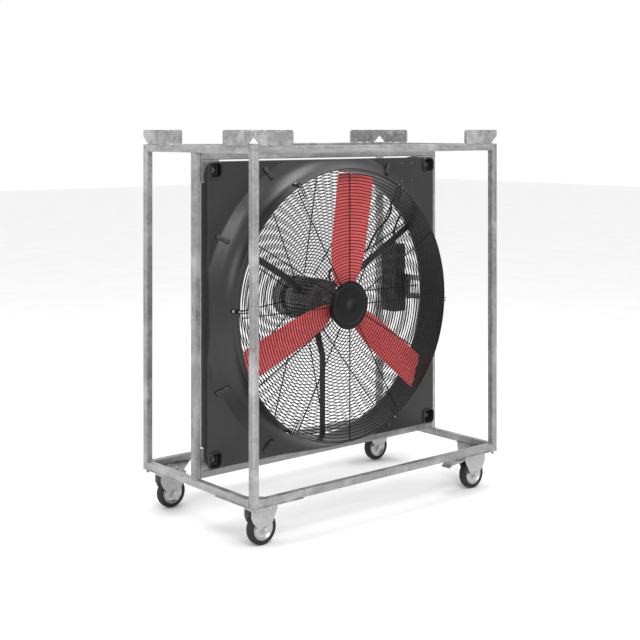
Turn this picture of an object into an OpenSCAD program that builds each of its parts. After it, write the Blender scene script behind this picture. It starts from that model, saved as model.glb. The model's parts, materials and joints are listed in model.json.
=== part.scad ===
// Mobile axial ventilation fan: a black moulded fan unit held in a galvanised square-tube
// trolley that rolls on four swivel casters and stacks by lugs on its top corners.
// Origin: on the floor, under the middle of the trolley. +X right, +Y towards the back, +Z up.

/* [Trolley] */
// Length of the trolley along X
frame_length = 1600; // [1500:10:1800]
// Depth of the trolley along Y
frame_depth = 900; // [800:10:1100]
// Height of the tube frame, casters and lugs not counted
frame_height = 1600; // [1560:10:1800]
// Side of the square tube
tube = 35; // [30:1:40]
// Wall of the square tube
tube_wall = 2.5; // [2:0.5:3]
// Diameter of the galvanising vent holes in the tubes
vent_hole_d = 7; // [5:0.5:9]
// Length of a stacking lug
lug_length = 230; // [150:5:280]
// Height of a stacking lug above the frame
lug_height = 72; // [50:1:90]
// Thickness of a stacking lug
lug_thick = 5; // [4:0.5:8]
// Leg of the triangular plate under each bottom corner
gusset_leg = 290; // [280:5:320]
// Thickness of the plate under each bottom corner
gusset_thick = 5; // [4:0.5:8]
// Side of the square plate in each corner of the inner frame
bracket_side = 105; // [95:5:125]

/* [Casters] */
// Wheel diameter
wheel_d = 150; // [145:1:155]
// Width of the tyre
wheel_width = 40; // [34:1:42]
// Height from the floor to the top of the caster's plate
caster_height = 190; // [188:1:200]
// Distance of the swivel axis from the end of the trolley
caster_inset_x = 84; // [84:1:94]
// Distance of the swivel axis from the long side of the trolley
caster_inset_y = 84; // [84:1:94]
// Horizontal distance from the swivel axis to the wheel's axle
caster_trail = 25; // [22:1:30]

/* [Fan unit] */
// Width of the moulded housing
housing_width = 1498; // [1440:2:1500]
// Height of the moulded housing
housing_height = 1446; // [1440:2:1446]
// Wall of the moulded housing
housing_wall = 4; // [3:0.5:5]
// How far the housing's face stands in front of the inner frame
housing_depth = 34; // [30:1:40]
// Radius inside the rim of the bell mouth
rim_radius = 674; // [670:1:676]
// How far the rim stands in front of the inner frame
rim_depth = 186; // [182:1:196]
// Radius over the blade tips
impeller_radius = 656; // [600:2:660]
// How far the middle of the blades stands in front of the inner frame
impeller_depth = 136; // [134:1:140]
// Number of blades
blade_count = 3; // [3]
// Angle of the first blade above the X axis
blade_start = 82; // [80:0.5:100]
// Blade chord near the tip
blade_chord_tip = 198; // [150:1:205]
// Blade chord at two fifths of its span
blade_chord_root = 188; // [150:1:195]
// Blade pitch at the tip, in degrees
pitch_tip = 17; // [10:1:20]
// Blade pitch at the root, in degrees
pitch_root = 20; // [15:1:25]
// Radius of the cast hub
hub_radius = 88; // [80:1:95]

/* [Guards] */
// Diameter of the guard wires
wire_d = 5; // [4:0.5:6]
// Number of radial wires in each guard
radials = 12; // [12]
// Number of rings in each guard
guard_rings = 14; // [13:1:16]
// Radius of the disc in the middle of the front guard
disc_radius = 117; // [105:1:125]
// Distance that the rear guard reaches behind the inner frame at its middle
rear_guard_depth = 190; // [180:5:220]

/* [Motor] */
// Radius of the motor's shell
motor_radius = 98; // [90:1:100]
// Height of the cooling fins
fin_height = 12; // [8:1:14]
// Number of cooling fins
fin_count = 28; // [20:1:36]
// Radius of the motor shaft
shaft_radius = 16; // [14:0.5:18]
// Running clearance between the shaft and its bearings
running_clearance = 0.05; // [0.02:0.01:0.08]
// Diameter of the motor cable
cable_d = 12; // [10:1:14]

/* [Hidden] */
$fn = 48;
half_l = frame_length / 2;
half_w = frame_depth / 2;
frame_z = caster_height + gusset_thick;
top_z = frame_z + frame_height;
inner_low_z = frame_z + tube;
inner_high_z = top_z - tube;
fan_z = (inner_low_z + inner_high_z) / 2;
rail_run = frame_length - 2 * tube;
side_run = frame_depth - 2 * tube;
vent_from_end = tube / 2;

// Fan unit, measured along Y from the front face of the inner frame at y = 0
face_y = -housing_depth;
rim_y = -rim_depth;
washer_t = 2;
wire_r = wire_d / 2;
guard_y = rim_y - washer_t - wire_r;
guard_outer_r = rim_radius - 6;
ear_seat_r = rim_radius + housing_wall + 6;
ear_t = 4;
ear_r = ear_seat_r + ear_t;
ear_turn = -2.5;
ear_reach = 64;
ear_screw_y = rim_y + 30;
pocket = 66;
pocket_edge = 8;
pocket_x = housing_width / 2 - pocket_edge - pocket / 2;
pocket_z = housing_height / 2 - pocket_edge - pocket / 2;
housing_corner_r = 60;
side_wall_y = 20;
side_wall_half = 624;
plate_y = 4;
peg_h = 16;

// Motor, measured along Y
motor_front_y = 12;
motor_back_y = 222;
cowl_back_y = 300;
fin_radius = motor_radius + fin_height;
shell_wall = 8;
stator_bore_r = 60;
rotor_r = 59;
bearing_r = 36;
bearing_w = 18;
front_bearing_y = motor_front_y - bearing_w;
rear_bearing_y = motor_back_y + 2;
strut_w = 32;
strut_t = 7;
strut_y = 16;
strut_kink_r = 275;
strut_angles = [30, 150, 270];
strut_foot_r = 692;

// Control box on the inner right post
box_size = [74, 110, 375];
box_pos = [half_l - tube - 8 - box_size[0], 195, 855];
knob_z = box_pos[2] + box_size[2] - 90;
cover_t = 4;

// Casters: z levels from the floor
axle_z = wheel_d / 2;
plate_t = 4;
plate_size = [110, 110];
plate_holes = [76, 76];
race_r = 33;
race_low_z = caster_height - 13;
crown_t = 5;
crown_high_z = race_low_z - 5;
kingpin_r = 8;
axle_r = 6;
leg_t = 3.5;
pedal_x = 64;
pedal_z = crown_high_z - 12;
pedal_pin_r = 4;
leg_reach = 98;
leg_in = 25;
hub_half = 22;
rim_wheel_r = 0.72 * wheel_d / 2;

// Route of the motor cable, from its terminal box round the fan opening to the control box
cable_route = [
    [132, 100, 1028], [132, 100, 1052], [134, 112, 1080], [146, 138, 1104], [176, 156, 1130],
    [240, 154, 1160], [322, 142, 1186], [404, 128, 1218], [432, 116, 1276], [460, 98, 1334], [506, 80, 1378],
    [523, 64, 1430], [508, 48, 1500], [502, 34, 1570], [520, 28, 1640], [566, 26, 1696],
    [626, 26, 1716], [690, 26, 1716], [738, 28, 1698], [755, 30, 1650], [756, 30, 1570],
    [755, 34, 1500], [751, 70, 1462], [742, 136, 1444], [729, 194, 1400], [718, 228, 1336],
    [711, 239, 1288], [710, 240, 1252]
];

cable_end = cable_route[len(cable_route) - 1];

CASTERS = [["front_left", -1, -1], ["front_right", 1, -1], ["rear_left", -1, 1], ["rear_right", 1, 1]];

// ---- helpers ----------------------------------------------------------------------------

// Cylinder along Y from y0 to y1 on the fan's axis
module y_cyl(r, y0, y1, x = 0, z = 0) {
    translate([x, y0, fan_z + z]) rotate([-90, 0, 0]) cylinder(r = r, h = y1 - y0);
}

// Solid turned about the fan's axis from a profile of [radius, y] points
module y_turned(profile, n = 96) {
    translate([0, 0, fan_z]) rotate([-90, 0, 0]) rotate_extrude($fn = n) polygon(profile);
}

// Rounded rectangle, centred
module rounded_rect(w, h, r) {
    union() {
        square([w - 2 * r, h], center = true);
        square([w, h - 2 * r], center = true);
        for (x = [-1, 1], z = [-1, 1]) translate([x * (w / 2 - r), z * (h / 2 - r)]) circle(r);
    }
}

// A flat shape in X and Z, centred on the fan's axis, from y0 to y1
module fan_slab(y0, y1) {
    translate([0, y1, fan_z]) rotate([90, 0, 0]) linear_extrude(y1 - y0) children();
}

// Square tube along Z, closed by a cap at its top
module tube_z(length) {
    difference() {
        cube([tube, tube, length]);
        translate([tube_wall, tube_wall, -1])
            cube([tube - 2 * tube_wall, tube - 2 * tube_wall, length + 1 - tube_wall]);
    }
}

// Open square tube along X
module tube_x(length) {
    difference() {
        cube([length, tube, tube]);
        translate([-1, tube_wall, tube_wall])
            cube([length + 2, tube - 2 * tube_wall, tube - 2 * tube_wall]);
    }
}

// Open square tube along Y
module tube_y(length) {
    translate([tube, 0, 0]) rotate([0, 0, 90]) tube_x(length);
}

// Hexagon head or nut along Z
module hex(across, h) {
    cylinder(r = across / 2 / cos(30), h = h, $fn = 6);
}

// ---- trolley frame ----------------------------------------------------------------------

// Corner post, with a vent hole near each end in the two faces that look outwards
module corner_post(sx, sy) {
    x0 = sx > 0 ? half_l - tube : -half_l;
    y0 = sy > 0 ? half_w - tube : -half_w;
    color("silver") difference() {
        translate([x0, y0, frame_z]) tube_z(frame_height);
        for (z = [frame_z + vent_from_end, top_z - vent_from_end]) {
            translate([sx * (half_l - tube_wall / 2), y0 + tube / 2, z]) rotate([0, 90, 0])
                cylinder(d = vent_hole_d, h = 2 * tube_wall, center = true);
            translate([x0 + tube / 2, sy * (half_w - tube_wall / 2), z]) rotate([90, 0, 0])
                cylinder(d = vent_hole_d, h = 2 * tube_wall, center = true);
        }
    }
}

// Rail along X at the front or back, at the height z
module long_rail(sy, z) {
    y0 = sy > 0 ? half_w - tube : -half_w;
    color("silver") translate([-rail_run / 2, y0, z]) tube_x(rail_run);
}

// Rail along Y at the left or right end, at the height z
module side_rail(sx, z) {
    x0 = sx > 0 ? half_l - tube : -half_l;
    color("silver") translate([x0, -side_run / 2, z]) tube_y(side_run);
}

// Post of the inner frame that carries the fan unit
module inner_post(sx) {
    x0 = sx > 0 ? half_l - tube : -half_l;
    color("silver") difference() {
        translate([x0, 0, inner_low_z]) tube_z(inner_high_z - inner_low_z);
        for (z = [inner_low_z + vent_from_end, inner_high_z - vent_from_end])
            translate([sx * (half_l - tube_wall / 2), tube / 2, z]) rotate([0, 90, 0])
                cylinder(d = vent_hole_d, h = 2 * tube_wall, center = true);
    }
}

// Rail of the inner frame
module inner_rail(z) {
    color("silver") translate([-rail_run / 2, 0, z]) tube_x(rail_run);
}

// One lug: a plate with rounded top corners and the corner-side bottom cut off at an angle,
// drawn along X from the corner at x = 0
module lug_plate() {
    gap = 3;
    cut = 42;
    low = 6;
    r = 12;
    rotate([90, 0, 0]) translate([0, 0, -lug_thick]) linear_extrude(lug_thick) union() {
        polygon([
            [gap + cut, 0], [lug_length, 0], [lug_length, lug_height - r],
            [lug_length - r, lug_height], [gap + low, lug_height], [gap, lug_height - low],
            [gap, 40]
        ]);
        translate([lug_length - r, lug_height - r]) circle(r);
    }
}

// Two lugs on each top corner, one in the plane of each outer face
module stacking_lugs() {
    color("gainsboro") for (sx = [0, 1], sy = [0, 1]) {
        translate([0, 0, top_z]) mirror([sx, 0, 0]) mirror([0, sy, 0]) translate([-half_l, -half_w, 0]) {
            lug_plate();
            mirror([0, 1, 0]) rotate([0, 0, -90]) lug_plate();
        }
    }
}

// Triangular plates under the bottom corners, drilled for the casters,
// and square plates in the corners of the inner frame, drilled for the housing
module gusset_plates() {
    color("gainsboro") {
        for (sx = [0, 1], sy = [0, 1]) mirror([sx, 0, 0]) mirror([0, sy, 0]) difference() {
            translate([-half_l, -half_w, caster_height]) linear_extrude(gusset_thick)
                polygon([[0, 0], [gusset_leg, 0], [0, gusset_leg]]);
            caster_hole_places() cylinder(r = 5.5, h = 3 * gusset_thick, center = true);
        }
        for (x = [-1, 1], y = [-1, 1])
            translate([x * (half_l - tube / 2), y * (half_w - tube / 2), caster_height - peg_h])
                cylinder(d = 16, h = peg_h + 0.5);
        for (sx = [0, 1], sz = [-1, 1]) mirror([sx, 0, 0]) difference() {
            translate([-half_l + tube, 0, sz > 0 ? inner_high_z - tube - bracket_side : inner_low_z + tube])
                cube([bracket_side, plate_y, bracket_side]);
            y_cyl(6.5, -1, plate_y + 1, -pocket_x, sz * pocket_z);
        }
    }
}

// Four hole places of the front left caster, on the gusset's middle plane
module caster_hole_places() {
    for (x = [-0.5, 0.5], y = [-0.5, 0.5])
        translate([
            -half_l + caster_inset_x + x * plate_holes[0],
            -half_w + caster_inset_y + y * plate_holes[1],
            caster_height + gusset_thick / 2
        ]) children();
}

// Fixed plate of each caster with its ball race and kingpin
module caster_plates() {
    color("lightgray") for (sx = [0, 1], sy = [0, 1]) mirror([sx, 0, 0]) mirror([0, sy, 0]) difference() {
        translate([-half_l + caster_inset_x, -half_w + caster_inset_y, 0]) {
            translate([0, 0, caster_height - plate_t]) linear_extrude(plate_t)
                rounded_rect(plate_size[0], plate_size[1], 10);
            translate([0, 0, race_low_z]) cylinder(r = race_r, h = caster_height - plate_t - race_low_z);
            translate([0, 0, crown_high_z - crown_t - 10]) cylinder(r = kingpin_r, h = 30);
            translate([0, 0, crown_high_z - crown_t - 10]) cylinder(r = 13, h = 9.6);
        }
        caster_hole_places() cylinder(r = 5.5, h = 30, center = true);
    }
}

// ---- casters ----------------------------------------------------------------------------

// Places a caster's parts: origin on the floor under the swivel axis, wheel trailing inwards
module at_caster(sx, sy) {
    translate([sx * (half_l - caster_inset_x), sy * (half_w - caster_inset_y), 0])
        mirror([sx > 0 ? 1 : 0, 0, 0]) children();
}

// Outline of a fork leg: broad under the crown, tapering to a round end at the axle,
// with an ear for the pedal's pin where the caster has a brake
module leg_outline(braked) {
    difference() {
        union() {
            if (braked) translate([pedal_x, pedal_z]) circle(9);
            polygon([
                [-50, crown_high_z], [leg_reach, crown_high_z], [leg_reach, crown_high_z - 14],
                [leg_reach - 8, crown_high_z - 34], [66, axle_z + 18], [caster_trail + 17, axle_z - 2],
                [caster_trail - 16, axle_z - 4], [-16, axle_z + 12], [-38, crown_high_z - 62],
                [-50, crown_high_z - 36]
            ]);
            translate([caster_trail, axle_z]) circle(17);
        }
        translate([caster_trail, axle_z]) circle(axle_r + running_clearance);
        translate([pedal_x, pedal_z]) circle(pedal_pin_r + running_clearance);
    }
}

// Pressed steel fork: two legs, a crown with the kingpin's bore, and the upper race
module fork(sx, sy) {
    color("silver") at_caster(sx, sy) {
        for (side = [-1, 1]) translate([0, side * (leg_in + leg_t / 2) + leg_t / 2, 0])
            rotate([90, 0, 0]) linear_extrude(leg_t) leg_outline(sx > 0);
        difference() {
            union() {
                translate([-50, -leg_in - leg_t, crown_high_z - crown_t])
                    cube([50 + leg_reach, 2 * (leg_in + leg_t), crown_t]);
                translate([0, 0, crown_high_z - 1])
                    cylinder(r = race_r - 4, h = race_low_z - crown_high_z + 0.6);
            }
            cylinder(r = kingpin_r + running_clearance, h = 300);
        }
    }
}

// Axle bolt with a head and a nut outside the fork
module axle(sx, sy) {
    half = leg_in + leg_t;
    color("lightgray") at_caster(sx, sy) translate([caster_trail, 0, axle_z]) rotate([90, 0, 0]) {
        translate([0, 0, -half - 9]) cylinder(r = axle_r, h = 2 * half + 18);
        translate([0, 0, half]) hex(19, 7);
        translate([0, 0, -half - 8]) hex(19, 8);
    }
}

// Pressed steel rim with a hub tube
module wheel_rim(sx, sy) {
    color("gainsboro") at_caster(sx, sy) translate([caster_trail, 0, axle_z]) rotate([90, 0, 0])
        rotate_extrude($fn = 72) polygon([
            [axle_r + running_clearance, -hub_half], [14, -hub_half], [15, -13], [rim_wheel_r - 14, -8],
            [rim_wheel_r - 4, -17], [rim_wheel_r, -17], [rim_wheel_r, 17], [rim_wheel_r - 4, 17],
            [rim_wheel_r - 14, 8], [15, 13], [14, hub_half], [axle_r + running_clearance, hub_half]
        ]);
}

// Solid rubber tyre with a crowned tread
module tyre(sx, sy) {
    half = wheel_width / 2;
    r = wheel_d / 2;
    color("dimgray") at_caster(sx, sy) translate([caster_trail, 0, axle_z]) rotate([90, 0, 0])
        rotate_extrude($fn = 96) polygon([
            [rim_wheel_r, -17], [rim_wheel_r + 3, -half], [r - 8, -half], [r - 3, -half + 4],
            [r - 0.8, -half + 9], [r, -6], [r, 6], [r - 0.8, half - 9], [r - 3, half - 4],
            [r - 8, half], [rim_wheel_r + 3, half], [rim_wheel_r, 17]
        ]);
}

// Brake pedal: a pressed tread plate on two arms, hinged on a pin above the wheel
module brake_pedal(sy) {
    color("lightgray") at_caster(1, sy) {
        translate([pedal_x, leg_in + leg_t + 3, pedal_z]) rotate([90, 0, 0])
            cylinder(r = pedal_pin_r, h = 2 * (leg_in + leg_t + 3));
        for (side = [-1, 1]) translate([0, side * 17 + 2, 0]) rotate([90, 0, 0]) linear_extrude(4)
            polygon([
                [pedal_x - 3, pedal_z - 5], [pedal_x + 4, pedal_z - 6], [116, pedal_z - 12],
                [172, pedal_z - 16], [172, pedal_z - 9], [116, pedal_z + 1],
                [pedal_x + 6, pedal_z + 5], [pedal_x - 3, pedal_z + 5]
            ]);
        difference() {
            translate([0, 30, 0]) rotate([90, 0, 0]) linear_extrude(60) polygon([
                [104, pedal_z], [150, pedal_z - 5], [196, pedal_z - 13], [214, pedal_z - 25],
                [217, pedal_z - 21], [198, pedal_z - 8], [151, pedal_z], [104, pedal_z + 5]
            ]);
            translate([126, -11, pedal_z - 20]) cube([22, 22, 40]);
        }
    }
}

// ---- fan unit ---------------------------------------------------------------------------

// Moulded housing: a square face with a return flange, a bell mouth that stands forward
// from a broad fillet, and a bolt pocket in each corner
module fan_housing() {
    t = housing_wall;
    flare_r = 66;
    bell_out = rim_radius + t;
    steps = 8;
    flare_y = face_y - flare_r * 0.9;
    outer = [for (i = [0 : steps]) [
        bell_out + 6 + flare_r * (1 - cos(90 * i / steps)), flare_y + flare_r * 0.9 * sin(90 * i / steps)
    ]];
    lip = [
        [rim_radius, rim_y + 3], [rim_radius + 3, rim_y], [bell_out + 2, rim_y], [bell_out + 4, rim_y + 6]
    ];
    inner = [for (i = [steps : -1 : 0]) [
        max(outer[i][0] - t - 1, rim_radius), min(outer[i][1] + t, face_y + t)
    ]];
    color([0.16, 0.16, 0.17]) difference() {
        union() {
            fan_slab(face_y, -1) difference() {
                rounded_rect(housing_width, housing_height, housing_corner_r);
                rounded_rect(housing_width - 2 * t, housing_height - 2 * t, housing_corner_r - t);
            }
            fan_slab(face_y, face_y + t) difference() {
                rounded_rect(housing_width, housing_height, housing_corner_r);
                circle(rim_radius + 34, $fn = 120);
            }
            intersection() {
                y_turned(concat(lip, outer, inner), 144);
                fan_slab(rim_y - 1, face_y + t)
                    rounded_rect(housing_width - 0.5, housing_height - 0.5, housing_corner_r);
            }
            for (x = [-1, 1], z = [-1, 1]) translate([x * pocket_x, 0, z * pocket_z])
                fan_slab(face_y, -1) rounded_rect(pocket + 2 * t, pocket + 2 * t, 20);
            bell_ring(rim_radius - 12, face_y, -6);
            for (x = [-1, 1]) translate([x * (housing_width - t) / 2, (side_wall_y - 2) / 2, fan_z])
                cube([t, side_wall_y + 2, 2 * side_wall_half], center = true);
        }
        for (x = [-1, 1], z = [-1, 1]) {
            translate([x * pocket_x, 0, z * pocket_z])
                fan_slab(face_y - 1, -1 - t) rounded_rect(pocket, pocket, 18);
            y_cyl(6.5, -20, 5, x * pocket_x, z * pocket_z);
        }
    }
}

// Short inner ring behind the bell that closes the housing's hollow edge
module bell_ring(r, y0, y1) {
    y_turned([
        [r + 8, y0], [r + 46, y0], [r + 46, y0 + 4], [r + 14, y0 + 4], [r + 14, y1], [r + 8, y1]
    ], 120);
}

// Flat ring of the wire's width and thickness
module guard_ring(r, y) {
    fan_slab(y - wire_r, y + wire_r) difference() {
        circle(r + wire_r, $fn = 96);
        circle(r - wire_r, $fn = 96);
    }
}

// One straight radial of the wire's thickness, from radius r0 at y0 to radius r1 at y1
module radial_wire(angle, r0, y0, r1, y1) {
    run = r1 - r0;
    drop = y1 - y0;
    translate([0, 0, fan_z]) rotate([0, -angle, 0]) translate([r0, y0, 0])
        rotate([0, 0, atan2(drop, run)]) translate([0, -wire_r, -wire_r])
            cube([norm([run, drop]), wire_d, wire_d]);
}

// One ear, drawn along X: it runs out past the rim and bends back along the bell's outside
module guard_ear() {
    difference() {
        union() {
            translate([guard_outer_r - 4, guard_y - wire_r, -8]) cube([ear_r - guard_outer_r + 4, wire_d, 16]);
            translate([ear_seat_r, guard_y - wire_r, -8]) cube([ear_t, ear_reach, 16]);
        }
        translate([ear_seat_r - 1, ear_screw_y, 0]) rotate([0, 90, 0]) cylinder(r = 3.3, h = ear_t + 2);
    }
}

// Front guard: rings and radials in one plane, with six ears screwed to the bell's outside
module front_guard() {
    inner_r = disc_radius - 14;
    color([0.12, 0.12, 0.13]) {
        fan_slab(guard_y - wire_r, guard_y + wire_r) {
            for (r = [inner_r : (guard_outer_r - inner_r) / (guard_rings - 1) : guard_outer_r + 1])
                difference() {
                    circle(r + wire_r, $fn = 96);
                    circle(r - wire_r, $fn = 96);
                }
            for (i = [0 : radials - 1]) rotate(i * 360 / radials)
                translate([inner_r, -wire_r]) square([guard_outer_r - inner_r, wire_d]);
        }
        for (i = [0 : 5]) translate([0, 0, fan_z]) rotate([0, -60 * i - ear_turn, 0]) guard_ear();
    }
}

// Pressed disc in the middle of the front guard
module guard_disc() {
    color([0.1, 0.1, 0.11]) y_turned([
        [0, guard_y - 14], [disc_radius - 40, guard_y - 13], [disc_radius - 10, guard_y - 9],
        [disc_radius, guard_y - wire_r - 1], [disc_radius, guard_y - wire_r], [0, guard_y - wire_r]
    ]);
}

// Rear guard: a shallow wire cone round the motor, standing on the backs of the struts
module rear_guard() {
    mouth_r = rim_radius + 14;
    mouth_y = strut_y + strut_t + wire_r;
    neck_r = fin_radius + 22;
    slope = (rear_guard_depth - mouth_y) / mouth_r;
    neck_y = mouth_y + (mouth_r - neck_r) * slope;
    color([0.12, 0.12, 0.13]) {
        for (r = [neck_r : (mouth_r - neck_r) / (guard_rings - 1) : mouth_r + 1])
            guard_ring(r, mouth_y + (mouth_r - r) * slope);
        for (i = [0 : radials - 1])
            radial_wire(i * 360 / radials + 2, neck_r, neck_y, mouth_r, mouth_y);
    }
}

// Three flat steel struts that carry the motor, each with a foot behind the housing's face
module motor_struts() {
    seat_r = fin_radius + 1;
    color([0.2, 0.2, 0.21]) for (a = strut_angles) translate([0, 0, fan_z]) rotate([0, -a, 0]) {
        translate([0, 0, -strut_w / 2]) linear_extrude(strut_w) polygon([
            [seat_r, 70], [seat_r + 8, 70], [strut_kink_r, strut_y], [strut_foot_r + 16, strut_y],
            [strut_foot_r + 16, strut_y + strut_t], [strut_kink_r + 4, strut_y + strut_t],
            [seat_r + 8, 92], [seat_r + 8, 130], [seat_r, 130]
        ]);
        translate([strut_foot_r, face_y + housing_wall, 0]) rotate([-90, 0, 0])
            cylinder(r = 10, h = strut_y - face_y - housing_wall);
    }
}

// ---- motor ------------------------------------------------------------------------------

// Finned shell with three pads for the struts
module motor_shell() {
    color([0.15, 0.15, 0.16]) difference() {
        union() {
            y_cyl(motor_radius, motor_front_y, motor_back_y);
            translate([0, 0, fan_z]) for (i = [0 : fin_count - 1]) rotate([0, 360 * i / fin_count, 0])
                translate([motor_radius - 2, motor_front_y + 4, -1.6])
                    cube([fin_height + 2, motor_back_y - motor_front_y - 8, 3.2]);
            translate([0, 0, fan_z]) for (a = strut_angles) rotate([0, -a, 0])
                translate([motor_radius - 4, 70, -strut_w / 2]) cube([fin_height + 5, 60, strut_w]);
            translate([motor_radius - 10, 60, fan_z - 45]) cube([24, 90, 84]);
        }
        y_cyl(motor_radius - shell_wall, motor_front_y - 1, motor_back_y + 1);
    }
}

// Front end shield with the seat of the front bearing
module motor_front_shield() {
    color([0.17, 0.17, 0.18]) y_turned([
        [shaft_radius + 6, front_bearing_y - 5], [60, front_bearing_y - 5],
        [motor_radius, motor_front_y - 6], [motor_radius, motor_front_y], [bearing_r, motor_front_y],
        [bearing_r, front_bearing_y], [shaft_radius + 6, front_bearing_y]
    ]);
}

// Rear end shield with the seat of the rear bearing
module motor_rear_shield() {
    back = rear_bearing_y + bearing_w;
    color([0.17, 0.17, 0.18]) y_turned([
        [bearing_r, rear_bearing_y], [bearing_r + 8, rear_bearing_y], [bearing_r + 8, motor_back_y],
        [motor_radius, motor_back_y], [motor_radius, motor_back_y + 6], [60, back + 5],
        [shaft_radius + 6, back + 5], [shaft_radius + 6, back], [bearing_r, back]
    ]);
}

// Two deep groove ball bearings, each drawn as its outer envelope
module motor_bearings() {
    color("gainsboro") for (y = [front_bearing_y, rear_bearing_y]) difference() {
        y_cyl(bearing_r, y, y + bearing_w);
        y_cyl(shaft_radius + running_clearance, y - 1, y + bearing_w + 1);
    }
}

// Stator stack and its winding heads
module stator() {
    outer = motor_radius - shell_wall;
    color("chocolate") y_turned([
        [stator_bore_r, 62], [outer, 62], [outer, 172], [stator_bore_r, 172]
    ]);
    color("chocolate") for (y = [36, 172]) y_turned([
        [stator_bore_r + 6, y], [outer - 6, y], [outer - 6, y + 26], [stator_bore_r + 6, y + 26]
    ]);
}

// Shaft with the rotor pack, the impeller seat in front and the cooling fan seat behind
module rotor_shaft() {
    color("silver") union() {
        y_cyl(shaft_radius, rim_y + 18, cowl_back_y - 16);
        y_cyl(rotor_r, 62, 172);
    }
}

// Cooling fan on the back end of the shaft
module cooling_fan() {
    color([0.2, 0.2, 0.2]) {
        difference() {
            union() {
                y_cyl(30, 252, 282);
                y_cyl(82, 252, 255);
                translate([0, 0, fan_z]) for (i = [0 : 7]) rotate([0, 45 * i, 0])
                    translate([28, 254, -1.5]) cube([54, 26, 3]);
            }
            y_cyl(shaft_radius, 240, 290);
        }
    }
}

// Sheet cover over the cooling fan with a grille of holes in its back
module cooling_fan_cover() {
    color([0.14, 0.14, 0.15]) difference() {
        y_turned([
            [fin_radius - 3, motor_back_y - 4], [fin_radius + 2, motor_back_y - 4],
            [fin_radius + 2, cowl_back_y - 14], [fin_radius - 12, cowl_back_y], [0, cowl_back_y],
            [0, cowl_back_y - 2.5], [fin_radius - 13, cowl_back_y - 2.5],
            [fin_radius - 3, cowl_back_y - 14.5]
        ]);
        for (ring = [[36, 8], [58, 14], [80, 20]], i = [0 : ring[1] - 1]) let (a = 360 * i / ring[1])
            y_cyl(5, cowl_back_y - 6, cowl_back_y + 1, ring[0] * cos(a), ring[0] * sin(a));
    }
}

// Terminal box on the right of the motor, open to its lid
module terminal_box() {
    x0 = motor_radius + 14;
    color([0.15, 0.15, 0.16]) difference() {
        translate([x0, 64, fan_z - 40]) cube([38, 78, 74]);
        translate([x0 + 5, 69, fan_z - 35]) cube([40, 68, 64]);
        translate([cable_route[0][0], cable_route[0][1], fan_z + 30])
            cylinder(r = cable_d / 2 + 0.1, h = 10);
    }
}

// Lid of the terminal box with four screws
module terminal_box_lid() {
    x0 = motor_radius + 14 + 38;
    color([0.15, 0.15, 0.16]) {
        translate([x0, 62, fan_z - 42]) cube([6, 82, 78]);
        for (y = [69, 137], z = [-35, 29])
            translate([x0 + 6, y, fan_z + z]) rotate([0, 90, 0]) cylinder(r = 4, h = 3);
    }
}

// Ring of points round a route point, square to the route
function tangent(p, i) = let (
    a = p[max(i - 1, 0)], b = p[min(i + 1, len(p) - 1)], d = b - a
) d / norm(d);
function side_axis(t) = let (c = cross(t, [0.31, 0.95, 0.05])) c / norm(c);
function tube_points(p, r, sides) = [
    for (i = [0 : len(p) - 1]) let (t = tangent(p, i), u = side_axis(t), v = cross(t, u))
        for (k = [0 : sides - 1]) let (a = 360 * k / sides) p[i] + r * (cos(a) * u + sin(a) * v)
];
function tube_faces(n, sides) = concat(
    [[for (k = [0 : sides - 1]) k]],
    [for (i = [0 : n - 2], k = [0 : sides - 1]) let (m = (k + 1) % sides)
        [i * sides + k, (i + 1) * sides + k, (i + 1) * sides + m, i * sides + m]],
    [[for (k = [sides - 1 : -1 : 0]) (n - 1) * sides + k]]
);
function spline_point(a, b, c, d, s) = 0.5 * (
    2 * b + (c - a) * s + (2 * a - 5 * b + 4 * c - d) * s * s + (3 * b - a - 3 * c + d) * s * s * s
);
function smooth(p, n) = concat(
    [for (i = [0 : len(p) - 2], k = [0 : n - 1]) spline_point(
        p[max(i - 1, 0)], p[i], p[i + 1], p[min(i + 2, len(p) - 1)], k / n
    )],
    [p[len(p) - 1]]
);

// Rubber cable from the motor's terminal box to the control box
module motor_cable() {
    route = smooth(cable_route, 3);
    color([0.1, 0.1, 0.1]) polyhedron(
        points = tube_points(route, cable_d / 2, 10), faces = tube_faces(len(route), 10), convexity = 6
    );
}

// ---- control box ------------------------------------------------------------------------

// Enclosure of the isolator, open towards its cover at the back
module control_box() {
    color([0.15, 0.15, 0.16]) difference() {
        translate(box_pos) cube(box_size);
        translate(box_pos + [5, 5, 5]) cube([box_size[0] - 10, box_size[1], box_size[2] - 10]);
        translate([cable_end[0], cable_end[1], box_pos[2] + box_size[2] - 10])
            cylinder(r = cable_d / 2 + 0.1, h = 20);
    }
}

// Cover of the enclosure with the knob's bushing
module control_box_cover() {
    y0 = box_pos[1] + box_size[1];
    color([0.2, 0.2, 0.21]) difference() {
        translate([box_pos[0], y0, box_pos[2]]) cube([box_size[0], cover_t, box_size[2]]);
        translate([box_pos[0] + box_size[0] / 2, y0 - 1, knob_z]) rotate([-90, 0, 0])
            cylinder(r = 6.05, h = cover_t + 2);
    }
}

// Steel plate that holds the enclosure to the inner right post
module control_box_bracket() {
    x0 = box_pos[0] + box_size[0];
    color("gainsboro") difference() {
        translate([x0, 4, 930]) cube([8, box_pos[1] + box_size[1] - 20, 130]);
        translate([x0 - 1, 70, 960]) cube([10, 90, 70]);
    }
}

// Rotary knob of the isolator with its spindle
module isolator_knob() {
    x = box_pos[0] + box_size[0] / 2;
    y0 = box_pos[1] + box_size[1] + cover_t;
    color("firebrick") {
        translate([x, y0 - 14, knob_z]) rotate([-90, 0, 0]) cylinder(r = 6, h = 16);
        translate([x, y0 + 0.5, knob_z]) rotate([-90, 0, 0]) cylinder(r = 26, h = 8);
        translate([x - 6, y0 + 8, knob_z - 23]) cube([12, 14, 46]);
    }
}

// ---- impeller ---------------------------------------------------------------------------

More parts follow.
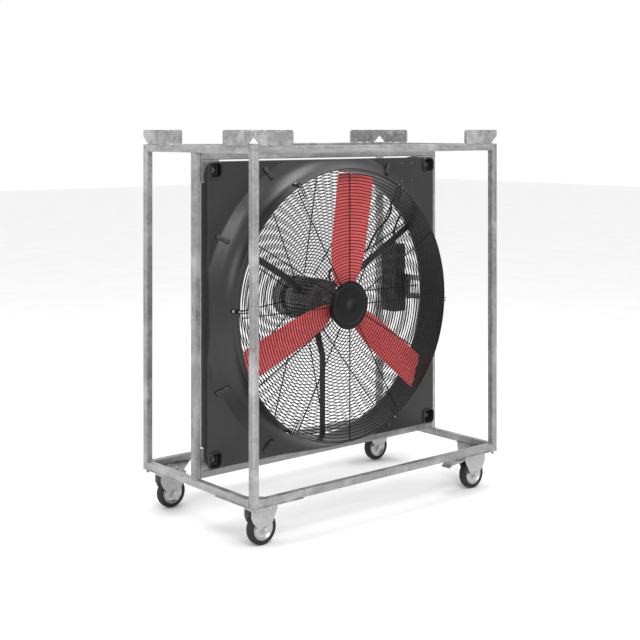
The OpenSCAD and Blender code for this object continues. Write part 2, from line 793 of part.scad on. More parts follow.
// Cast hub, bored for the motor shaft, with a pad for each blade
module impeller_hub() {
    y_mid = -impeller_depth;
    color([0.12, 0.12, 0.13]) difference() {
        union() {
            y_cyl(hub_radius - 14, y_mid - 22, y_mid + 22);
            y_cyl(40, y_mid - 36, y_mid + 46);
            translate([0, y_mid, fan_z]) for (i = [0 : blade_count - 1])
                rotate([0, -blade_start - 120 * i, 0]) rotate([-pitch_root, 0, 0])
                    translate([40, -12, -36]) cube([hub_radius - 40, 24, 72]);
        }
        y_cyl(shaft_radius, y_mid - 60, y_mid + 60);
    }
}

// Station of a blade: a thin cambered section at the radius r
module blade_station(r, chord, pitch) {
    thick = 7;
    camber = 0.06 * chord;
    shares = [for (i = [0 : 8]) i / 8 - 0.5];
    translate([r, 0, 0]) rotate([-pitch, 0, 0]) rotate([90, 0, 90]) linear_extrude(0.6)
        polygon([
            for (s = shares) [camber * (1 - 4 * s * s) - thick / 2, s * chord],
            for (s = -shares) [camber * (1 - 4 * s * s) + thick / 2 * (1 - 2.6 * s * s), s * chord]
        ]);
}

// One twisted blade along X, built from spans between neighbouring stations
module blade() {
    span = impeller_radius - hub_radius;
    // Each station is [share of the span, share of the root chord]
    stations = [
        [0, 0.5], [0.07, 0.68], [0.15, 0.84], [0.26, 0.95], [0.4, 1],
        [1, blade_chord_tip / blade_chord_root]
    ];
    for (i = [0 : len(stations) - 2]) hull() for (k = [i, i + 1]) let (f = stations[k][0])
        blade_station(
            hub_radius + f * (span - 1), blade_chord_root * stations[k][1],
            pitch_root + (pitch_tip - pitch_root) * f
        );
}

// Blades, one solid each
module impeller_blades() {
    color("crimson") translate([0, -impeller_depth, fan_z]) for (i = [0 : blade_count - 1])
        rotate([0, -blade_start - 120 * i, 0]) blade();
}

// ---- fasteners --------------------------------------------------------------------------

// Bolts of the casters and of the housing, and the screws that hold the front guard
module fasteners() {
    color("lightgray") {
        for (sx = [0, 1], sy = [0, 1]) mirror([sx, 0, 0]) mirror([0, sy, 0]) caster_hole_places() {
            translate([0, 0, gusset_thick / 2]) hex(16, 7);
            translate([0, 0, -gusset_thick / 2 - plate_t - 8]) hex(16, 8);
            translate([0, 0, -16]) cylinder(r = 5.4, h = 24);
        }
        for (x = [-1, 1], z = [-1, 1]) {
            y_cyl(6.4, -20, 18, x * pocket_x, z * pocket_z);
            y_cyl(14, -7.5, -5, x * pocket_x, z * pocket_z);
            y_cyl(10, -15, -7, x * pocket_x, z * pocket_z);
            y_cyl(10, plate_y, plate_y + 9, x * pocket_x, z * pocket_z);
        }
        for (i = [0 : 5]) let (
            a = 60 * i + ear_turn, x = (rim_radius + 3) * cos(a), z = (rim_radius + 3) * sin(a)
        ) {
            y_cyl(6, rim_y - washer_t, rim_y, x, z);
            translate([0, ear_screw_y, fan_z]) rotate([0, 90 - a, 0]) {
                translate([0, 0, ear_r]) cylinder(r = 7, h = 5);
                translate([0, 0, ear_seat_r - 0.5]) cylinder(r = 3.2, h = ear_t + 1);
            }
        }
    }
}

// ---- assembly ---------------------------------------------------------------------------

corner_post(-1, -1);  // post_front_left
corner_post(1, -1);  // post_front_right
corner_post(-1, 1);  // post_rear_left
corner_post(1, 1);  // post_rear_right
long_rail(-1, frame_z);  // rail_bottom_front
long_rail(1, frame_z);  // rail_bottom_rear
side_rail(-1, frame_z);  // rail_bottom_left
side_rail(1, frame_z);  // rail_bottom_right
long_rail(-1, inner_high_z);  // rail_top_front
long_rail(1, inner_high_z);  // rail_top_rear
side_rail(-1, inner_high_z);  // rail_top_left
side_rail(1, inner_high_z);  // rail_top_right
inner_post(-1);  // inner_post_left
inner_post(1);  // inner_post_right
inner_rail(inner_low_z);  // inner_rail_bottom
inner_rail(inner_high_z - tube);  // inner_rail_top
stacking_lugs();
gusset_plates();
caster_plates();
fasteners();
for (c = CASTERS) {
    fork(c[1], c[2]);
    axle(c[1], c[2]);
    wheel_rim(c[1], c[2]);
    tyre(c[1], c[2]);
}
brake_pedal(-1);  // brake_pedal_front
brake_pedal(1);  // brake_pedal_rear
fan_housing();
front_guard();
guard_disc();
rear_guard();
motor_struts();
motor_shell();
motor_front_shield();
motor_rear_shield();
motor_bearings();
stator();
cooling_fan_cover();
terminal_box();
terminal_box_lid();
motor_cable();
control_box();
control_box_cover();
control_box_bracket();
isolator_knob();
impeller_hub();
impeller_blades();
rotor_shaft();
cooling_fan();
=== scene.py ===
"""Looks of the mobile axial fan: a black moulded fan with red blades in a galvanised tube trolley.

Every size is in metres, in the CAD model's frame: +X right, +Y towards the motor, +Z up, floor at z = 0.
"""
import json
import math
import random

import bmesh
import bpy
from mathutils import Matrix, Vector


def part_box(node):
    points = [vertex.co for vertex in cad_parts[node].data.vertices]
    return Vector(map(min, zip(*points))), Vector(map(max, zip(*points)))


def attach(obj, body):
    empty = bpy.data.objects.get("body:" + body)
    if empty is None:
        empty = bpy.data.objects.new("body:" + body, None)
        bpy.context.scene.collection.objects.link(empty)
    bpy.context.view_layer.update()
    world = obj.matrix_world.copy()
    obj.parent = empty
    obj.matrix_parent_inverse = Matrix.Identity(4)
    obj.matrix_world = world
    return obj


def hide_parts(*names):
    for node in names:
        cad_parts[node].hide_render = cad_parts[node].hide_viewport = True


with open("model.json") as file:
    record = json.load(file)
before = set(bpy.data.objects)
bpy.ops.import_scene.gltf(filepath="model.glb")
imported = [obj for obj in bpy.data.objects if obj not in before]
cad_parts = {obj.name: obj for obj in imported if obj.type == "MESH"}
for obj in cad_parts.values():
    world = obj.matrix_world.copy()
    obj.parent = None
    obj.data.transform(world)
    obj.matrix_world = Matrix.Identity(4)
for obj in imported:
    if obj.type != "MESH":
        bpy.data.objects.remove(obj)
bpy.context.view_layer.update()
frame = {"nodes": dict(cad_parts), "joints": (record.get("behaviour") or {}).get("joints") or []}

MM = 0.001
TAU = 2 * math.pi
CORNERS = [("front_left", -1, -1), ("front_right", 1, -1), ("rear_left", -1, 1), ("rear_right", 1, 1)]


# ---- places taken from the CAD model ---------------------------------------------------

def middle(node):
    """Middle of a CAD node's box."""
    low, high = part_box(node)
    return (low + high) / 2


TROLLEY_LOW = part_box("post_front_left")[0]
TROLLEY_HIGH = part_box("post_rear_right")[1]
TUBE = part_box("rail_top_front")[1].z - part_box("rail_top_front")[0].z
HALF_L = TROLLEY_HIGH.x
HALF_W = TROLLEY_HIGH.y
BASE_Z = TROLLEY_LOW.z
TOP_Z = TROLLEY_HIGH.z
FAN_Z = middle("rotor_shaft").z
HOUSING_LOW, HOUSING_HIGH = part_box("fan_housing")
RIM_Y = HOUSING_LOW.y
GUARD_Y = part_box("front_guard")[0].y + 2.5 * MM
FACE_Y = -34 * MM
BACK_Y = HOUSING_HIGH.y
HOUSING_HALF_W = HOUSING_HIGH.x
HOUSING_HALF_H = HOUSING_HIGH.z - FAN_Z
RIM_R = 674 * MM
WALL = 4 * MM


# ---- materials --------------------------------------------------------------------------

class Shader:
    """A Principled material with short calls for its texture nodes, in the row's own coordinates."""

    def __init__(self, name, color, roughness, metallic=0.0, **sockets):
        self.material = bpy.data.materials.new(name)
        self.material.use_nodes = True
        self.tree = self.material.node_tree
        self.bsdf = self.tree.nodes["Principled BSDF"]
        self.set("Base Color", (*color, 1))
        self.set("Roughness", roughness)
        self.set("Metallic", metallic)
        for key, value in sockets.items():
            self.set(key.replace("_", " ").title().replace("Ior", "IOR"), value)
        self.coords = self.tree.nodes.new("ShaderNodeTexCoord").outputs["Object"]

    def set(self, socket, value):
        self.bsdf.inputs[socket].default_value = value

    def link(self, source, target):
        self.tree.links.new(source, target)

    def mapped(self, scale):
        """The row's coordinates, scaled along each axis."""
        node = self.tree.nodes.new("ShaderNodeMapping")
        node.inputs["Scale"].default_value = scale
        self.link(self.coords, node.inputs["Vector"])
        return node.outputs["Vector"]

    def noise(self, scale, detail=3.0, roughness=0.5, stretch=(1, 1, 1), distortion=0.0):
        node = self.tree.nodes.new("ShaderNodeTexNoise")
        node.inputs["Scale"].default_value = scale
        node.inputs["Detail"].default_value = detail
        node.inputs["Roughness"].default_value = roughness
        node.inputs["Distortion"].default_value = distortion
        self.link(self.mapped(stretch), node.inputs["Vector"])
        return node.outputs["Fac"]

    def cells(self, scale):
        """One random grey per cell, as the crystals of a zinc coat."""
        node = self.tree.nodes.new("ShaderNodeTexVoronoi")
        node.inputs["Scale"].default_value = scale
        self.link(self.mapped((1, 1, 1)), node.inputs["Vector"])
        grey = self.tree.nodes.new("ShaderNodeSeparateColor")
        self.link(node.outputs["Color"], grey.inputs["Color"])
        return grey.outputs["Red"]

    def ramp(self, source, stops):
        """A colour ramp: stops are (position, grey or colour)."""
        node = self.tree.nodes.new("ShaderNodeValToRGB")
        elements = node.color_ramp.elements
        while len(elements) < len(stops):
            elements.new(0.5)
        for element, (position, value) in zip(elements, stops):
            element.position = position
            element.color = (*value, 1) if isinstance(value, tuple) else (value, value, value, 1)
        self.link(source, node.inputs["Fac"])
        return node.outputs["Color"]

    def mix(self, a, b, factor):
        """Blend of two colours, each a socket or a colour, by a socket or a number."""
        node = self.tree.nodes.new("ShaderNodeMix")
        node.data_type = "RGBA"
        for name, value in (("Factor", factor), ("A", a), ("B", b)):
            index = {"Factor": 0, "A": 6, "B": 7}[name]
            if isinstance(value, bpy.types.NodeSocket):
                self.link(value, node.inputs[index])
            else:
                node.inputs[index].default_value = value if name == "Factor" else (*value, 1)
        return node.outputs[2]

    def color(self, socket):
        self.link(socket, self.bsdf.inputs["Base Color"])

    def roughness(self, source, low, high):
        self.link(self.ramp(source, [(0.25, low), (0.75, high)]), self.bsdf.inputs["Roughness"])

    def bump(self, *layers):
        """Bump layers of (height socket, depth in metres, strength), stacked."""
        normal = None
        for height, depth, strength in layers:
            node = self.tree.nodes.new("ShaderNodeBump")
            node.inputs["Distance"].default_value = depth
            node.inputs["Strength"].default_value = strength
            self.link(height, node.inputs["Height"])
            if normal is not None:
                self.link(normal, node.inputs["Normal"])
            normal = node.outputs["Normal"]
        self.link(normal, self.bsdf.inputs["Normal"])
        return self


def galvanised(name, stretch, light=0.8):
    """Hot-dip zinc: crystals, dull clouds, dark stains, and runs along the tube."""
    s = Shader(name, (0.4, 0.4, 0.41), 0.42, metallic=0.6)
    crystals = s.cells(62)
    fine = s.cells(170)
    clouds = s.noise(6, detail=4, roughness=0.6)
    stains = s.noise(15, detail=6, roughness=0.7, distortion=0.7)
    runs = s.noise(24, detail=5, roughness=0.68, stretch=stretch, distortion=0.4)
    grey = s.ramp(crystals, [(0.0, 0.25 * light), (1.0, 0.44 * light)])
    grey = s.mix(grey, s.ramp(fine, [(0.0, 0.22 * light), (1.0, 0.46 * light)]), 0.35)
    grey = s.mix(grey, s.ramp(runs, [(0.3, 0.14 * light), (0.5, 0.33 * light), (0.7, 0.62 * light)]), 0.45)
    grey = s.mix(grey, (0.62 * light, 0.625 * light, 0.63 * light), s.ramp(clouds, [(0.5, 0.0), (0.66, 0.6)]))
    grey = s.mix(grey, (0.12 * light, 0.12 * light, 0.12 * light), s.ramp(stains, [(0.58, 0.0), (0.72, 0.6)]))
    s.color(grey)
    s.roughness(s.mix(crystals, clouds, 0.5), 0.28, 0.58)
    s.bump((s.noise(90, detail=4), 0.6 * MM, 0.3), (fine, 0.25 * MM, 0.18))
    return s.material


def zinc_plate(name, base, rough, metallic=0.85):
    """Bright zinc plating on pressed steel, with faint brushing and handling marks."""
    s = Shader(name, (base, base, base), rough, metallic=metallic)
    haze = s.noise(35, detail=5, roughness=0.7)
    brushed = s.noise(60, detail=2, stretch=(1, 1, 12))
    grey = s.ramp(haze, [(0.3, base * 0.72), (0.7, base * 1.12)])
    s.color(s.mix(grey, s.ramp(brushed, [(0.3, base * 0.8), (0.7, base * 1.1)]), 0.3))
    s.roughness(haze, rough - 0.08, rough + 0.16)
    s.bump((brushed, 0.15 * MM, 0.15), (s.noise(140, detail=3), 0.2 * MM, 0.1))
    return s.material


def black_moulding():
    """Satin black moulding with an orange-peel skin, flow marks and a little dust."""
    s = Shader("black_moulding", (0.012, 0.012, 0.0125), 0.34, specular_ior_level=0.46)
    flow = s.noise(3.2, detail=4, roughness=0.55, distortion=0.6)
    dust = s.noise(48, detail=6, roughness=0.75)
    base = s.ramp(flow, [(0.3, (0.009, 0.009, 0.0095)), (0.7, (0.016, 0.016, 0.0168))])
    s.color(s.mix(base, (0.045, 0.044, 0.042), s.ramp(dust, [(0.56, 0.0), (0.8, 0.25)])))
    s.roughness(s.mix(flow, dust, 0.5), 0.27, 0.42)
    s.bump((s.noise(420, detail=2), 0.25 * MM, 0.16), (flow, 1.2 * MM, 0.08))
    return s.material


def powder_coat(name, color, rough, depth=0.2, dust=0.12, gloss=0.4):
    """Powder coat or paint: fine orange peel, and a shade that wanders a little."""
    speckle = 0.25
    s = Shader(name, color, rough, specular_ior_level=gloss)
    wander = s.noise(9, detail=4, roughness=0.6)
    dark = tuple(c * (1 - speckle) for c in color)
    light = tuple(min(c * (1 + speckle), 1.0) for c in color)
    tone = s.ramp(wander, [(0.3, dark), (0.7, light)])
    grime = s.noise(60, detail=6, roughness=0.72)
    s.color(s.mix(tone, (0.16, 0.155, 0.15), s.ramp(grime, [(0.58, 0.0), (0.85, dust)])))
    s.roughness(s.mix(wander, grime, 0.5), max(rough - 0.08, 0.05), rough + 0.12)
    s.bump((s.noise(520, detail=2), depth * MM, 0.18))
    return s.material


def blade_paint():
    """Red paint on the blades, with a shade that wanders, and fine dust."""
    s = Shader("blade_red", (0.76, 0.105, 0.105), 0.4, specular_ior_level=0.45)
    wander = s.noise(6, detail=4, roughness=0.6)
    tone = s.ramp(wander, [(0.3, (0.69, 0.084, 0.088)), (0.7, (0.84, 0.118, 0.122))])
    dust = s.noise(70, detail=6, roughness=0.75)
    s.color(s.mix(tone, (0.62, 0.26, 0.24), s.ramp(dust, [(0.55, 0.0), (0.85, 0.25)])))
    s.roughness(dust, 0.34, 0.52)
    s.bump((s.noise(380, detail=2), 0.15 * MM, 0.15))
    return s.material


def rubber(name, base, scuff):
    """Solid rubber: fine grain, mould bloom, and grey scuffs."""
    s = Shader(name, (base, base, base), 0.62, specular_ior_level=0.35)
    bloom = s.noise(30, detail=4, roughness=0.6)
    marks = s.noise(85, detail=6, roughness=0.75, distortion=0.5)
    tone = s.ramp(bloom, [(0.3, base * 0.75), (0.7, base * 1.3)])
    s.color(s.mix(tone, (0.16, 0.155, 0.15), s.ramp(marks, [(0.55, 0.0), (0.8, scuff)])))
    s.roughness(marks, 0.5, 0.78)
    s.bump((s.noise(650, detail=2), 0.2 * MM, 0.25), (marks, 0.3 * MM, 0.15))
    return s.material


def floor_paint():
    """Plain pale studio floor with a barely seen mottle."""
    s = Shader("studio_floor", (0.9, 0.9, 0.9), 0.85)
    s.color(s.ramp(s.noise(2.5, detail=2), [(0.3, 0.885), (0.7, 0.915)]))
    return s.material


MATERIALS = {
    "tube_x": galvanised("galvanised_tube_x", (0.12, 1, 1)),
    "tube_y": galvanised("galvanised_tube_y", (1, 0.12, 1)),
    "tube_z": galvanised("galvanised_tube_z", (1, 1, 0.1)),
    "plate": galvanised("galvanised_plate", (1, 1, 1), 0.86),
    "weld": galvanised("weld_bead", (1, 1, 1), 0.95),
    "zinc": zinc_plate("zinc_plated_steel", 0.42, 0.36, 0.6),
    "bolt": zinc_plate("bright_zinc", 0.55, 0.26),
    # Dark dull zinc: the dull finish of the four bracket screws, and painted shade on the bolts inside the
    # corner pockets.
    "dull_bolt_and_pocket_shade": zinc_plate("dull_zinc_and_pocket_shade", 0.14, 0.4),
    "wheel_rim": zinc_plate("zinc_rim", 0.5, 0.24),
    "rubber": rubber("black_rubber", 0.014, 0.14),
    "cable": rubber("cable_rubber", 0.01, 0.08),
    "moulding": black_moulding(),
    "wire": powder_coat("black_wire", (0.003, 0.003, 0.0033), 0.42, dust=0.02, gloss=0.22),
    "disc": powder_coat("black_disc", (0.002, 0.002, 0.0022), 0.2, dust=0.02, gloss=0.2),
    "strut": powder_coat("black_steel", (0.028, 0.0285, 0.03), 0.42),
    "motor": powder_coat("motor_black", (0.085, 0.086, 0.09), 0.28, dust=0.3, gloss=0.55),
    "hub": powder_coat("hub_black", (0.01, 0.01, 0.011), 0.4),
    "blade": blade_paint(),
    "box": powder_coat("box_plastic", (0.017, 0.017, 0.018), 0.5, depth=0.4),
    "knob": powder_coat("knob_red", (0.45, 0.018, 0.02), 0.35),
    "steel": zinc_plate("shaft_steel", 0.42, 0.26),
    "varnish": powder_coat("stator_varnish", (0.28, 0.1, 0.04), 0.35),
    "nylon": powder_coat("fan_plastic", (0.03, 0.03, 0.03), 0.5),
    "floor": floor_paint(),
}


# ---- mesh helpers -----------------------------------------------------------------------

def finish_piece(obj, body, slot, material, *nodes):
    """Gives a new piece its material and body, and hides the CAD nodes it stands for; slot is not used."""
    obj.data.materials.clear()
    obj.data.materials.append(MATERIALS[material])
    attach(obj, body)
    if nodes:
        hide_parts(*nodes)
    return obj


def mesh_object(name, verts, faces):
    """Smooth-shaded object from points and faces, with its normals facing out."""
    mesh = bpy.data.meshes.new(name)
    mesh.from_pydata([tuple(v) for v in verts], [], faces)
    work = bmesh.new()
    work.from_mesh(mesh)
    bmesh.ops.recalc_face_normals(work, faces=work.faces)
    work.to_mesh(mesh)
    work.free()
    obj = bpy.data.objects.new(name, mesh)
    bpy.context.scene.collection.objects.link(obj)
    mesh.polygons.foreach_set("use_smooth", [True] * len(mesh.polygons))
    return obj


def apply_all(obj):
    """Bakes an object's modifiers into its mesh."""
    depsgraph = bpy.context.evaluated_depsgraph_get()
    mesh = bpy.data.meshes.new_from_object(obj.evaluated_get(depsgraph))
    obj.modifiers.clear()
    obj.data = mesh
    return obj


def bevelled(obj, width, segments=2, angle=30):
    """Rounds the sharp edges and bakes weighted normals."""
    modifier = obj.modifiers.new("bevel", "BEVEL")
    modifier.width = width
    modifier.segments = segments
    modifier.limit_method = "ANGLE"
    modifier.angle_limit = math.radians(angle)
    modifier.harden_normals = False
    obj.modifiers.new("normals", "WEIGHTED_NORMAL").keep_sharp = True
    return apply_all(obj)


def softened(node, width, body, slot, material, segments=2):
    """A copy of a CAD node with its flat faces joined up and its edges rounded, standing for the node."""
    source = frame["nodes"][node]
    mesh = source.data.copy()
    work = bmesh.new()
    work.from_mesh(mesh)
    bmesh.ops.remove_doubles(work, verts=work.verts, dist=0.01 * MM)
    bmesh.ops.dissolve_limit(
        work, angle_limit=math.radians(0.5), verts=work.verts, edges=work.edges, delimit={"NORMAL"}
    )
    bmesh.ops.recalc_face_normals(work, faces=work.faces)
    work.to_mesh(mesh)
    work.free()
    mesh.polygons.foreach_set("use_smooth", [True] * len(mesh.polygons))
    obj = bpy.data.objects.new(node + "_finished", mesh)
    bpy.context.scene.collection.objects.link(obj)
    bevelled(obj, width, segments)
    return finish_piece(obj, body, slot, material, node)


def skin(loops, closed=False, caps=True):
    """Faces between loops of equal length, each a closed ring of points."""
    n = len(loops[0])
    verts = [p for loop in loops for p in loop]
    faces = []
    last = len(loops) if closed else len(loops) - 1
    for i in range(last):
        a = i * n
        b = ((i + 1) % len(loops)) * n
        faces += [(a + k, b + k, b + (k + 1) % n, a + (k + 1) % n) for k in range(n)]
    if caps and not closed:
        faces.append(tuple(range(n)))
        faces.append(tuple(range(len(verts) - 1, len(verts) - n - 1, -1)))
    return verts, faces


def lathe(name, profile, origin, segments):
    """Solid turned from (radius, along Y) points about the Y axis through origin."""
    loops = []
    for i in range(segments):
        a = TAU * i / segments
        c, s = math.cos(a), math.sin(a)
        loops.append([Vector((origin[0] + r * c, origin[1] + t, origin[2] + r * s)) for r, t in profile])
    return mesh_object(name, *skin(loops, closed=True))


def tube_loops(points, radius, sides=8, closed=False):
    """Rings of points round a path, for skin(). radius is a number or one for each point."""
    loops = []
    n = len(points)
    for i, p in enumerate(points):
        before = points[(i - 1) % n] if closed else points[max(i - 1, 0)]
        after = points[(i + 1) % n] if closed else points[min(i + 1, n - 1)]
        t = (after - before).normalized()
        side = t.cross(Vector((0.13, 0.97, 0.21)))
        if side.length < 0.2:
            side = t.cross(Vector((0.9, 0.1, 0.4)))
        side.normalize()
        up = t.cross(side)
        r = radius[i] if isinstance(radius, list) else radius
        turns = [TAU * k / sides for k in range(sides)]
        loops.append([p + r * (math.cos(a) * side + math.sin(a) * up) for a in turns])
    return loops


class Bundle:
    """Gathers many small shapes into one mesh."""

    def __init__(self):
        self.verts = []
        self.faces = []

    def add(self, verts, faces):
        base = len(self.verts)
        self.verts += verts
        self.faces += [tuple(base + i for i in f) for f in faces]

    def wire(self, points, radius, sides=8, closed=False):
        self.add(*skin(tube_loops(points, radius, sides, closed), closed))

    def build(self, name):
        return mesh_object(name, self.verts, self.faces)


def on_fan(r, angle, y):
    """Point at a radius and an angle in degrees about the fan's axis."""
    a = math.radians(angle)
    return Vector((r * math.cos(a), y, FAN_Z + r * math.sin(a)))


def ring_points(r, y, segments):
    return [on_fan(r, 360 * i / segments, y) for i in range(segments)]


def cut(obj, cutter):
    """Cuts a shape out of an object and throws the cutter away."""
    modifier = obj.modifiers.new("cut", "BOOLEAN")
    modifier.object = cutter
    modifier.operation = "DIFFERENCE"
    modifier.solver = "EXACT"
    apply_all(obj)
    bpy.data.objects.remove(cutter)


def rounded_square(cx, cz, half_w, half_h, r, steps=5):
    """Points round a rounded rectangle in X and Z, anticlockwise from its right side."""
    points = []
    for sx, sz, start in ((1, 1, 0), (-1, 1, 90), (-1, -1, 180), (1, -1, 270)):
        x, z = cx + sx * (half_w - r), cz + sz * (half_h - r)
        for k in range(steps + 1):
            a = math.radians(start + 90 * k / steps)
            points.append((x + r * math.cos(a), z + r * math.sin(a)))
    return points


# ---- trolley tubes ----------------------------------------------------------------------

def square_tube(node, holes=()):
    """Tube with rolled corners in place of a CAD tube; holes are (point, axis letter)."""
    low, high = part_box(node)
    size = high - low
    along = max(range(3), key=lambda i: size[i])
    across = [i for i in range(3) if i != along]
    mid = (low + high) / 2
    start, end = low[along], high[along]
    corner = 4.5 * MM
    loops = []
    for place, inset in ((start, 0.7), (start + 1.2 * MM, 0), (end - 1.2 * MM, 0), (end, 0.7)):
        half = TUBE / 2 - inset * MM
        ring = []
        for u, v in rounded_square(mid[across[0]], mid[across[1]], half, half, corner, 4):
            p = [0, 0, 0]
            p[along], p[across[0]], p[across[1]] = place, u, v
            ring.append(Vector(p))
        loops.append(ring)
    obj = mesh_object(node + "_rolled", *skin(loops))
    if holes:
        drill = Bundle()
        for point, axis in holes:
            step = Vector([28 * MM if axis == letter else 0 for letter in "XYZ"])
            drill.wire([point - step, point + step], 4 * MM, 16)
        cut(obj, drill.build("drill"))
    obj.data.polygons.foreach_set("use_smooth", [True] * len(obj.data.polygons))
    obj.modifiers.new("normals", "WEIGHTED_NORMAL")
    apply_all(obj)
    return finish_piece(obj, "trolley", "galvanised_tube", "tube_" + "xyz"[along], node)


def post_holes(sx, sy):
    """Vent holes at rail level in the outer faces, and beside the rails in the inner faces."""
    x, y = sx * HALF_L, sy * HALF_W
    mid_x, mid_y = x - sx * TUBE / 2, y - sy * TUBE / 2
    holes = []
    for end, inward in ((BASE_Z, 1), (TOP_Z, -1)):
        level, beside = end + inward * TUBE / 2, end + inward * 1.55 * TUBE
        holes += [(Vector((x, mid_y, level)), "X"), (Vector((mid_x, y, level)), "Y")]
        holes += [(Vector((mid_x, y - sy * TUBE, beside)), "Y")]
    return holes


def make_tubes():
    for name, sx, sy in CORNERS:
        square_tube("post_" + name, post_holes(sx, sy))
    for level in ("bottom", "top"):
        for side in ("front", "rear", "left", "right"):
            square_tube(f"rail_{level}_{side}")
    for side, sx in (("left", -1), ("right", 1)):
        low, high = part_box("inner_post_" + side)
        y = (low.y + high.y) / 2
        levels = (low.z + 0.6 * TUBE, high.z - 0.6 * TUBE)
        square_tube("inner_post_" + side, [(Vector((sx * HALF_L, y, z)), "X") for z in levels])
    square_tube("inner_rail_bottom")
    square_tube("inner_rail_top")


def weld_path(bundle, points, radius, rng):
    """A rippled bead along a path of points."""
    ripple, step = 3.4 * MM, 1.1 * MM
    dense = []
    for a, b in zip(points, points[1:]):
        count = max(int((b - a).length / step), 1)
        dense += [a.lerp(b, k / count) for k in range(count)]
    dense.append(points[-1])
    radii, travelled = [], 0.0
    for i in range(len(dense)):
        travelled += (dense[i] - dense[i - 1]).length if i else 0
        taper = min(1, 0.45 + 0.18 * min(i, len(dense) - 1 - i))
        swell = 1 + 0.16 * math.sin(TAU * travelled / ripple) + rng.uniform(-0.08, 0.08)
        radii.append(radius * taper * swell)
    dense = [p + Vector([rng.uniform(-0.25, 0.25) * MM for _ in range(3)]) for p in dense]
    bundle.wire(dense, radii, 7)


def tube_end_welds(bundle, node, rng):
    """A bead round both ends of a tube."""
    low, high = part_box(node)
    size = high - low
    along = max(range(3), key=lambda i: size[i])
    a, b = [i for i in range(3) if i != along]
    out = 0.3 * MM
    for place, inward in ((low[along], 1), (high[along], -1)):
        ring = []
        for u, v in ((0, 0), (1, 0), (1, 1), (0, 1), (0, 0)):
            p = [0, 0, 0]
            p[along] = place + inward * 1.0 * MM
            p[a] = (high[a] + out) if u else (low[a] - out)
            p[b] = (high[b] + out) if v else (low[b] - out)
            ring.append(Vector(p))
        weld_path(bundle, ring, 2.3 * MM, rng)


def make_welds():
    rng = random.Random(11)
    beads = Bundle()
    for level in ("bottom", "top"):
        for side in ("front", "rear", "left", "right"):
            tube_end_welds(beads, f"rail_{level}_{side}", rng)
    for node in ("inner_post_left", "inner_post_right", "inner_rail_bottom", "inner_rail_top"):
        tube_end_welds(beads, node, rng)
    finish_piece(beads.build("frame_welds"), "trolley", "galvanised_tube", "weld")


# ---- stacking lugs ----------------------------------------------------------------------

LUG_LENGTH = 230 * MM
LUG_HEIGHT = 72 * MM
LUG_THICK = 5 * MM
LUG_FOOT = 2.5 * MM


def lug_outline():
    """Side view of a lug from the corner at 0: rounded top corners, the corner-side foot cut off."""
    points = [(45 * MM, LUG_FOOT), (LUG_LENGTH, LUG_FOOT)]
    for cx, start, r in ((LUG_LENGTH, 0, 13 * MM), (3 * MM, 90, 7 * MM)):
        side = 1 if start == 0 else -1
        for k in range(7):
            a = math.radians(start + 90 * k / 6)
            points.append((cx - side * r + r * math.cos(a), LUG_HEIGHT - r + r * math.sin(a)))
    points.append((3 * MM, 40 * MM))
    return points


def make_lugs():
    """Eight lugs on short weld beads, with a slit of light under each."""
    rng = random.Random(5)
    plates, beads = Bundle(), Bundle()
    for _, sx, sy in CORNERS:
        for along in "XY":
            def place(u, depth, z):
                if along == "X":
                    return Vector((sx * (HALF_L - u), sy * (HALF_W - depth), TOP_Z + z))
                return Vector((sx * (HALF_L - depth), sy * (HALF_W - u), TOP_Z + z))
            outline = lug_outline()
            plates.add(*skin([[place(u, d, z) for u, z in outline] for d in (0, LUG_THICK)]))
            for start, end in ((50, 84), (110, 136), (172, 222)):
                for depth in (0.6 * MM, LUG_THICK - 0.2 * MM):
                    path = [place(u * MM, depth, 1.2 * MM) for u in (start, end)]
                    weld_path(beads, path, 2.4 * MM, rng)
    lugs = plates.build("lug_plates")
    bevelled(lugs, 1.0 * MM, 2, 40)
    finish_piece(lugs, "trolley", "galvanised_plate", "plate", "stacking_lugs")
    finish_piece(beads.build("lug_welds"), "trolley", "galvanised_plate", "weld")


# ---- casters ----------------------------------------------------------------------------

def both_sides(profile):
    """A lathe profile followed by its mirror image in the wheel's middle plane."""
    return profile + [(r, -t) for r, t in reversed(profile)]


